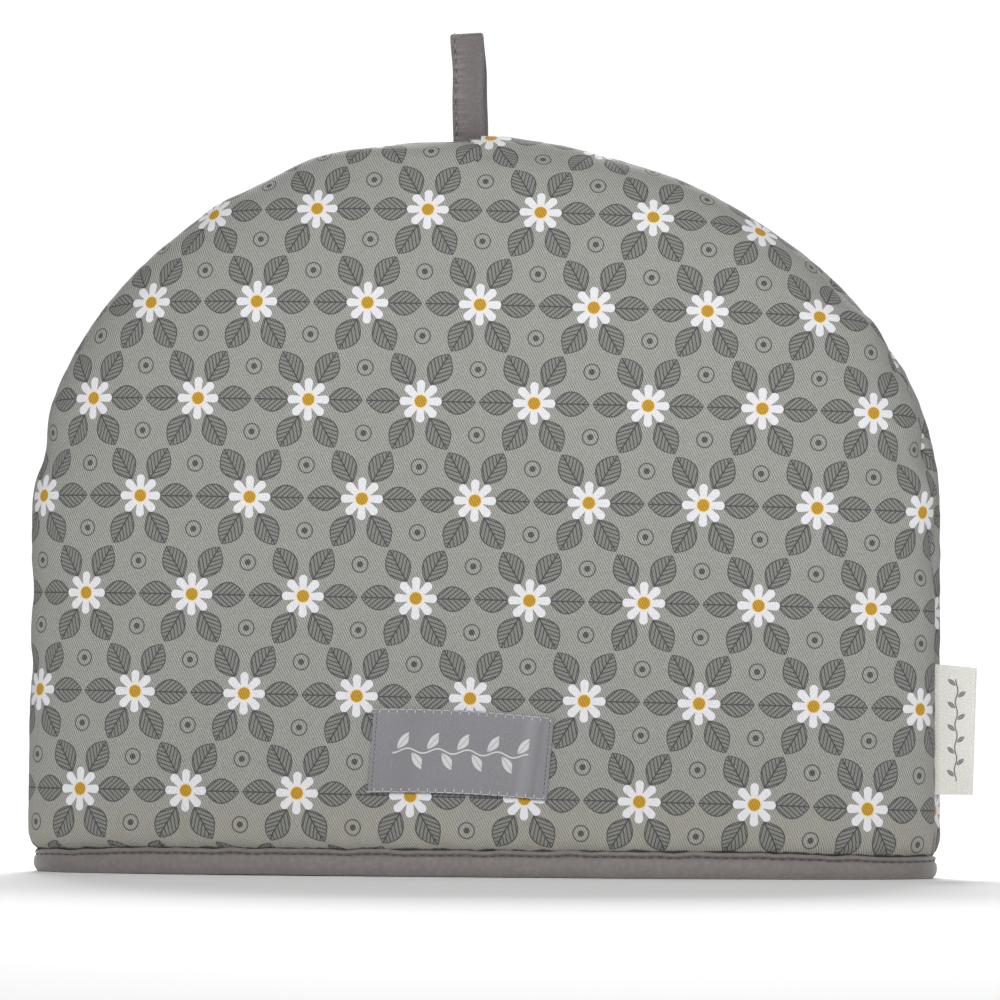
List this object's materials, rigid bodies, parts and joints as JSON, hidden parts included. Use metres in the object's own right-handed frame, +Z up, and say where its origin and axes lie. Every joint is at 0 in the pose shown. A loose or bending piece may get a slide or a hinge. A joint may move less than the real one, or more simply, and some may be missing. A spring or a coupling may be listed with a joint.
{
  "type": "tea cosy",
  "caption": "Dome-shaped padded tea cosy of printed cloth, open along its bound hem, with a hanging loop on top, a sewn patch on the front and a folded side tag.",
  "frame": {"origin": "on the floor, under the middle of the whole seen from above", "axes": "+X to the right of the front panel, towards the side tag, +Y from front to back, +Z up"},
  "size_m": [0.3556, 0.0824, 0.3165],
  "materials": {
    "printed_twill": "matt cotton twill, sage grey with a small daisy and leaf repeat",
    "grey_tape": "plain warm grey cotton, soft sheen",
    "patch_satin": "grey woven satin",
    "tag_cotton": "cream cotton tape, matt"
  },
  "bodies": {
    "root": {"front_panel": "printed_twill", "back_panel": "printed_twill", "hem_binding": "grey_tape", "hanging_loop": "grey_tape", "patch_label": "patch_satin", "side_tag": "tag_cotton"}
  },
  "joints": []
}
